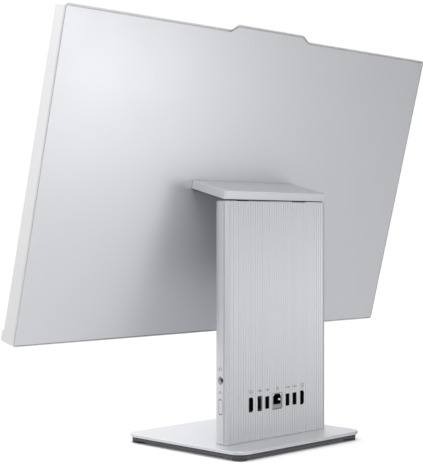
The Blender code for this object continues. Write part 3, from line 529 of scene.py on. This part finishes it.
def build_column_lid():
    rim = [(73.6, 45.0), (73.7, 40.7)] + arc(57.9, 40.8, 15.6, 0, -90, 12)
    holes = [oblong(x, 36.0, 9.7, 4.1, 1.5) for x in (-ARM_X, ARM_X)]
    holes += [level_pill(0, 28.5 + i * 2.4, 40, 1.2) for i in range(6)]
    plate("column_lid", [mirrored(rim)] + holes, 1.8, SHADE, "stand", "up", (0, 0, 250.3), edge=0.2, steps=1,
          replaces=["column_top_plate"])


# --- ports -------------------------------------------------------------------------------------------------

def socket_pit(outline, back, wall):
    """A tube with a closed back behind a port's opening. The outline is a function of how far it grows."""
    low, clear = back - 1.0, 4
    body = plate_mesh("body", [outline(wall)], SOCKET_MOUTH - low, at=(0, (SOCKET_MOUTH + low) / 2, 0),
                      edge=0.15, steps=1)
    hollow = plate_mesh("hollow", [outline(0)], SOCKET_MOUTH + clear - back,
                        at=(0, (SOCKET_MOUTH + clear + back) / 2, 0))
    return carve(body, [hollow])


def port_sleeve(name):
    """The dark lining of a port's opening in the rear cover."""
    plate(name + "_sleeve", [opening_outline(name, -0.05), opening_outline(name, -0.35)], 2.3, PIT, "stand",
          at=(0, 46.4, 0))


def build_usb(name, x):
    z = PORT_Z
    shell = socket_pit(lambda grow: oblong(x, z, 2.7 + grow, 6.35 + grow, 0.5, 3), 33.5, 0.4)
    piece(name + "_shell", shell, PIT, "stand", [name])
    port_sleeve(name)
    block(name + "_tongue", (x + 0.3, 34, z - 5.6), (x + 2.1, 44.0, z + 5.6), BLACK, "stand", edge=0.2)
    for i in range(4):
        up = z + (i - 1.5) * 2.4
        block(f"{name}_contact_{i}", (x + 0.15, 35, up - 0.5), (x + 0.35, 43.2, up + 0.5), GOLD, "stand",
              edge=0.05)
    for i, up in enumerate((z - 3.2, z + 3.2)):
        block(f"{name}_spring_{i}", (x - 2.65, 37.5, up - 0.9), (x - 2.2, 42.0, up + 0.9), NICKEL, "stand",
              edge=0.15)


def build_hdmi(name, x):
    z = PORT_Z
    shell = socket_pit(lambda grow: hdmi(x, 3.1 + grow, 7.35 + grow), 34.0, 0.3)
    piece(name + "_shell", shell, PIT, "stand", [name])
    port_sleeve(name)
    block(name + "_tongue", (x - 0.6, 34.5, z - 5.3), (x + 0.9, 43.2, z + 5.3), BLACK, "stand", edge=0.25)
    block(name + "_contacts", (x + 0.85, 36, z - 4.6), (x + 0.98, 42.6, z + 4.6), GOLD, "stand", edge=0.03)


def build_power_inlet(name, x):
    z = PORT_Z
    face = plate_mesh("face", [oblong(x, z, 3.3, 7.5, 0.6, 3)], 14.6, at=(0, 39.5, 0), edge=0.25)
    hollow = plate_mesh("hollow", [oblong(x - 0.3, z, 2.0, 5.6, 0.4, 3)], 12, at=(0, 42.4, 0))
    marks = [plate_mesh("mark", [oblong(x, up, 1.4, 0.35, 0.2, 2)], 0.6, at=(0, 46.8, 0))
             for up in (z - 6.6, z + 6.6)]
    piece(name + "_body", carve(face, [hollow] + marks), BLACK, "stand", [name])
    turned(name + "_pin", [(0, 44.0), (0.35, 43.9), (0.55, 43.5), (0.55, 36), (0, 36)], NICKEL, "stand", "y",
           (x - 0.3, 0, z), steps=20)


def build_network_jack(name, x):
    low, high, centre, key = PORT_Z - 3.3, PORT_Z + 7.3, PORT_Z + 2, PORT_Z + 1.7
    cavity = [(x + 5.9, low), (x + 5.9, high - 2.1), (x + 3.9, high), (x - 3.7, high), (x - 5.7, high - 2.1),
              (x - 5.7, low)]
    shrink = 0.93
    inner = [(x + (u - x) * shrink, centre + (v - centre) * shrink) for u, v in cavity]
    face = plate_mesh("face", [oblong(x, PORT_Z, 7.1, 7.9, 0.5, 3)], 15.0, at=(0, 39.7, 0), edge=0.2)
    hollow = plate_mesh("hollow", [cavity], 12, at=(0, 42.2, 0))
    grooves = []
    for z in (low - 0.75, low - 3.9):
        groove = rounded(x - 6.4, z - 0.2, x + 6.4, z + 0.15, 0.1, 1)
        grooves.append(plate_mesh("groove", [groove], 0.8, at=(0, 47.2, 0)))
    piece(name + "_shield", carve(face, [hollow] + grooves), TIN, "stand", [name])
    plate(name + "_lining", [cavity, inner], 10.4, PIT, "stand", at=(0, 41.7, 0))
    plate(name + "_back", [cavity], 0.6, PIT, "stand", at=(0, 36.6, 0))
    block(name + "_latch_stop", (x - 5.4, 45.0, key - 1.1), (x - 3.6, 46.8, key + 0.6), LAMP, "stand",
          edge=0.2)
    for i in range(8):
        z = centre + (i - 3.5) * 1.02
        block(f"{name}_contact_{i}", (x + 2.4, 37, z - 0.22), (x + 5.2, 40.5, z + 0.22), GOLD, "stand",
              edge=0.05)
    for i, (side, inset) in enumerate(((1, 2.2), (-1, 2.4))):
        corner = [(x + side * 6.5, high + 0.1), (x + side * (6.5 - inset), high + 0.1),
                  (x + side * 6.5, high - 2.3)]
        plate(f"{name}_lamp_{i}", [corner], 0.4, LAMP, "stand", at=(0, 47.15, 0), edge=0.1, steps=1)


def build_ports():
    makers = {"usb": build_usb, "hdmi": build_hdmi, "dc": build_power_inlet, "ethernet": build_network_jack}
    for name, x in PORTS.items():
        makers[name.split("_")[0]](name, x)


# --- printed symbols and side controls ---------------------------------------------------------------------

def screen_symbol(x, z):
    middle = z + 0.45
    return [oblong(x, middle, 2.5, 1.25, 0.3, 2), oblong(x, middle, 2.1, 0.85, 0.2, 2),
            bar(x - 1.2, z - 1.5, x + 1.2, z - 1.5)]


def power_symbol(x, z):
    return [circle(x, z, 1.4, 20), circle(x, z, 1.4 - STROKE, 20), circle(x, z, 0.5, 12),
            bar(x - 2.6, z, x - 1.7, z), bar(x + 1.7, z, x + 2.6, z)]


def arrow_symbol(x, z):
    head = [(x - 1.8, z - 0.7), (x - 1.8, z + 0.7), (x - 2.8, z)]
    return [bar(x - 1.6, z, x + 1.5, z), circle(x + 2.1, z, 0.5, 12), head,
            bar(x - 0.2, z + 0.5, x + 0.9, z + 1.0), bar(x - 0.9, z - 1.0, x + 0.2, z - 0.5)]


def network_symbol(x, z):
    boxes = [oblong(x + u, z + v, 0.6, 0.5, 0.1, 1) for u, v in ((0, 1.3), (-1.7, -1.3), (1.7, -1.3))]
    return boxes + [bar(x, z + 0.5, x, z + 0.1), bar(x - 1.7, z - 0.1, x + 1.7, z - 0.1)]


def print_symbols():
    """Plain generic symbols over the ports: strokes, rings and boxes only."""
    drawn = {"hdmi": screen_symbol, "dc": power_symbol, "usb": arrow_symbol, "ethernet": network_symbol}
    for name, x in PORTS.items():
        outlines = drawn[name.split("_")[0]](x, PORT_Z + 13.0)
        plate(name + "_symbol", outlines, 0.5, PRINT, "stand", at=(0, COLUMN_REAR - 0.22, 0))


def build_power_button():
    y, back = SIDE_Y, 72.0
    cap = plate_mesh("cap", [upright_pill(y, BUTTON_Z, 5.4, 14.4, 16)], BUTTON_FACE - back, "side",
                     ((BUTTON_FACE + back) / 2, 0, 0), edge=0.3)
    flange = block_mesh("flange", (back, y - 3.6, BUTTON_Z - 9), (back + 0.6, y + 3.6, BUTTON_Z + 9),
                        edge=0.1)
    piece("power_button_cap", carve(cap, [flange], "UNION"), SILVER, "power_key",
          ["power_button"])
    turned("power_lamp", [(0, 0.12), (0.4, 0.12), (0.45, 0), (0.45, -0.6), (0, -0.6)], LAMP, "power_key", "x",
           (BUTTON_FACE, y - 1.0, BUTTON_Z + 4.9), steps=16)
    # A black ring in the gap round the button cap: painted shade, darkening the gap and hiding the lit flange
    # behind it.
    rims = [upright_pill(y, BUTTON_Z, width, width + 9.0, 16) for width in (6.7, 5.6)]
    plate("power_button_painted_shade_ring", rims, 1.2, BLACK, "stand", "side", (74.5, 0, 0))


def build_headset_jack():
    body = block_mesh("body", (70.1, SIDE_Y - 3.5, JACK_Z - 5.5), (72.6, SIDE_Y + 3.5, JACK_Z + 5.5),
                      edge=0.2)
    piece("headset_jack_body", body, BLACK, "stand", ["headset_jack"])
    barrel = [(1.75, 73.0), (3.1, 75.3), (3.7, 75.4), (3.9, 75.2), (3.9, 72.6), (1.75, 72.6), (1.75, 73.0)]
    turned("headset_jack_ring", barrel, TIN, "stand", "x", (0, SIDE_Y, JACK_Z))
    turned("headset_jack_floor", [(0, 72.9), (1.8, 72.9), (1.8, 72.4), (0, 72.4)], PIT, "stand", "x",
           (0, SIDE_Y, JACK_Z))


def print_side_symbols():
    y = SIDE_Y
    headset = [bow(y, 85.0, 1.7, 0, 180, 0.35, 12)]
    headset += [rounded(y + s * 1.75 - 0.5, 83.5, y + s * 1.75 + 0.5, 85.1, 0.3, 3) for s in (-1, 1)]
    power = [bow(y, 61.8, 1.5, 120, 420, 0.3, 20), bar(y, 62.1, y, 63.6, 0.3)]
    for name, outlines in (("headset_symbol", headset), ("power_symbol", power)):
        plate(name, outlines, 0.6, PRINT, "stand", "side", (75.72, 0, 0))


# --- hinge cap ---------------------------------------------------------------------------------------------

def build_cap():
    half, front, chamfer = CAP_WIDTH / 2, REAR + 0.5, 1.5
    outline = [(-half, front), (half, front), (half, CAP_REAR - chamfer), (half - chamfer, CAP_REAR),
               (chamfer - half, CAP_REAR), (-half, CAP_REAR - chamfer)]
    cap = plate_mesh("cap", [outline], CAP_TOP - CAP_FLOOR, "up", (0, 0, (CAP_TOP + CAP_FLOOR) / 2), TILT,
                     edge=0.45, steps=3)
    inside, pocket_depth = half - CAP_WALL, 8
    pocket = plate_mesh("pocket", [rounded(-inside, front - 3, inside, CAP_REAR - CAP_WALL, 1.0)],
                        pocket_depth, "up", (0, 0, CAP_TOP - CAP_WALL - pocket_depth / 2), TILT)
    piece("hinge_cap_shell", carve(cap, [pocket]), SILVER, "display", ["hinge_cap"])
    inset, thickness = 0.8, 1.0
    under = rounded(inset - half, front + 0.4, half - inset, CAP_REAR - inset, 0.8)
    slots = [oblong(x, 0, 9.4, 2.2, 0.8) for x in (-ARM_X, ARM_X)]
    plate("hinge_cap_underside", [under] + slots, thickness, SHADE, "display", "up",
          (0, 0, CAP_FLOOR - thickness / 2), TILT, edge=0.15, steps=1,
          replaces=["hinge_cap_floor"])


# --- display -----------------------------------------------------------------------------------------------

def frame_blank():
    """The frame's solid before it is hollowed, its screen side cut to the wedge and the chin's profile."""
    blank = DEPTH_BOTTOM + CHIN_STEP + 4
    shell = plate_mesh("frame", [display_outline(0)], blank, at=(0, REAR - blank / 2, 0), place=TILT,
                       edge=1.2, steps=3)
    ledge, shoulder, foot = CHIN_HEIGHT - 1 - HEIGHT, 1.0, 2.4
    profile = (
        [(-20, 20), (0, 20), (0, ledge + 1.2), (-0.5, ledge)]
        + arc(-CHIN_STEP + shoulder, ledge - shoulder, shoulder, 90, 180, 4)
        + arc(-CHIN_STEP + foot, -HEIGHT + foot, foot, 180, 270, 6)
        + [(3, -HEIGHT - 0.03), (3, -HEIGHT - 20), (-20, -HEIGHT - 20)]
    )
    return carve(shell, [plate_mesh("profile", [profile], WIDTH + 20, "side", place=SCREEN)])


def speaker_slots():
    """Cutters for two rows of slots in the chin's underside."""
    slots, pitch, count = [], 4.4, 18
    for middle in (-130, 130):
        for i in range(count):
            x = middle + (i - (count - 1) / 2) * pitch
            low, high = (x - 1.3, 3.4, -HEIGHT - 1), (x + 1.3, 4.6, -HEIGHT + 1.2)
            slots.append(block_mesh("slot", low, high, SCREEN))
    return slots


def build_display_frame():
    half = WIDTH / 2
    opening = rounded(RIM - half, BOTTOM + CHIN_HEIGHT, half - RIM, TOP - RIM, 1.2)
    cutters = [
        plate_mesh("rebate", [display_outline(1.3)], 4, at=(0, REAR + 0.2, 0), place=TILT),
        plate_mesh("opening", [opening], 40, at=(0, REAR - 10, 0), place=TILT),
        plate_mesh("window", [level_pill(4, 2.0, 26, 5.2)], 1.6, place=SCREEN),
    ]
    # The frame takes the lighter copy of the silver, a painted highlight.
    piece("display_frame", carve(frame_blank(), cutters + speaker_slots()), SILVER_PAINTED_LIGHTER_RIM, "display",
          ["middle_frame"])


def build_display_panels():
    thickness, play = 1.5, 0.4
    slots = [oblong(x, 16.8, ARM_WIDTH / 2 + play, 1.9, 0.6) for x in (-ARM_X, ARM_X)]
    plate("display_rear_panel", [display_outline(1.8, 0.6)] + slots, thickness, SILVER, "display",
          at=(0, REAR - thickness / 2, 0), place=TILT, edge=0.35,
          replaces=["rear_cover"])
    gap = 0.3
    side = WIDTH / 2 - RIM - gap
    glass = rounded(-side, CHIN_HEIGHT + gap - HEIGHT, side, -RIM - gap, 1.0)
    plate("screen", [glass], 1.2, GLASS, "display", at=(0, 1.1, 0), place=SCREEN, edge=0.15,
          replaces=["lcd_panel"])


def build_camera():
    lens_z = 2.1
    window = [level_pill(4, 2.0, 25.6, 4.8), circle(0, lens_z, 1.7, 24)]
    plate("camera_window", window, 0.5, WINDOW, "display", at=(0, 0.5, 0), place=SCREEN, edge=0.1, steps=1)
    turned("camera_lens", [(0, 1.1), (0.7, 0.95), (1.2, 1.1), (1.6, 0.9), (1.6, 1.9), (0, 1.9)], WINDOW,
           "display", "y", (0, 0, lens_z), SCREEN)
    shutter = block_mesh("shutter", (6.0, -0.25, -0.6), (15.0, 0.1, 4.6), SCREEN, 0.1)
    ridges = [block_mesh("ridge", (x, -0.4, 0.4), (x + 0.5, -0.15, 3.6), SCREEN) for x in (9.0, 10.2, 11.4)]
    piece("shutter_tab", carve(shutter, ridges), BLACK, "shutter", ["camera_shutter"])


# --- CAD nodes that stay -----------------------------------------------------------------------------------

def finish_cad_nodes():
    for row in frame["record"]["subparts"]:
        mesh = NODES[row["node"]].data
        mesh.materials.clear()
        mesh.materials.append(SLOT_FINISHES[row["material_slot"]])
        mesh.polygons.foreach_set("material_index", [0] * len(mesh.polygons))


# --- studio ------------------------------------------------------------------------------------------------

def area_light(name, at, towards, size, power):
    data = bpy.data.lights.new(name, "AREA")
    data.shape = "RECTANGLE"
    data.size, data.size_y = size
    data.energy = power
    lamp = bpy.data.objects.new(name, data)
    bpy.context.scene.collection.objects.link(lamp)
    lamp.location = at
    lamp.rotation_euler = (Vector(towards) - Vector(at)).to_track_quat("-Z", "Y").to_euler()
    lamp.visible_camera = False


def soft_world():
    """A surround that is plain white to the eye and lights the set from soft lobes."""
    world = bpy.data.worlds.new("studio")
    world.use_nodes = True
    nodes, link = world.node_tree.nodes, world.node_tree.links.new

    def feed(socket, value):
        if isinstance(value, float):
            socket.default_value = value
        else:
            link(value, socket)

    def maths(operation, first, second):
        node = nodes.new("ShaderNodeMath")
        node.operation = operation
        feed(node.inputs[0], first)
        feed(node.inputs[1], second)
        return node.outputs[0]

    def mix(factor, first, second):
        node = nodes.new("ShaderNodeMix")
        for socket, value in (("Factor", factor), ("A", first), ("B", second)):
            feed(node.inputs[socket], value)
        return node.outputs["Result"]

    split = nodes.new("ShaderNodeSeparateXYZ")
    link(nodes.new("ShaderNodeTexCoord").outputs["Generated"], split.inputs["Vector"])

    def glow(lobes):
        total = 0.0
        for axis, gain in lobes:
            lobe = maths("MAXIMUM", maths("MULTIPLY", split.outputs[axis], gain), 0.0)
            total = maths("ADD", lobe, total)
        return total

    lit = mix(maths("GREATER_THAN", split.outputs["Z"], 0.0), glow(LOBES_BELOW), glow(LOBES_ABOVE))
    background = nodes["Background"]
    background.inputs["Color"].default_value = (1, 1, 1, 1)
    seen = nodes.new("ShaderNodeLightPath").outputs["Is Camera Ray"]
    link(mix(seen, lit, 1.0), background.inputs["Strength"])
    return world


def build_studio():
    mesh = bpy.data.meshes.new("floor")
    shape = bmesh.new()
    bmesh.ops.create_grid(shape, x_segments=1, y_segments=1, size=12)
    shape.to_mesh(mesh)
    shape.free()
    floor = piece("floor", mesh, finish("floor_paper", (0.97, 0.97, 0.97), 0.9, grain=0.0, mottle=0.0))
    floor.visible_glossy = False
    scene = bpy.context.scene
    scene.world = soft_world()
    scene.view_settings.view_transform = "Standard"
    for name, (at, towards, size, power) in LAMPS.items():
        area_light(name, at, towards, size, power)

    eye = bpy.data.cameras.new("eye")
    eye.sensor_width = 36
    eye.lens = EYE_LENS_MM
    eye.shift_x, eye.shift_y = EYE_SHIFT
    eye.clip_start, eye.clip_end = 0.05, 60
    camera = bpy.data.objects.new("camera", eye)
    scene.collection.objects.link(camera)
    camera.location = EYE_PLACE
    camera.rotation_euler = Vector(EYE_ALONG).to_track_quat("-Z", "Y").to_euler()
    scene.camera = camera


def main():
    finish_cad_nodes()
    build_base()
    build_column_rear()
    build_column_front()
    build_column_lid()
    build_ports()
    print_symbols()
    build_power_button()
    build_headset_jack()
    print_side_symbols()
    build_cap()
    build_display_frame()
    build_display_panels()
    build_camera()
    build_studio()


main()
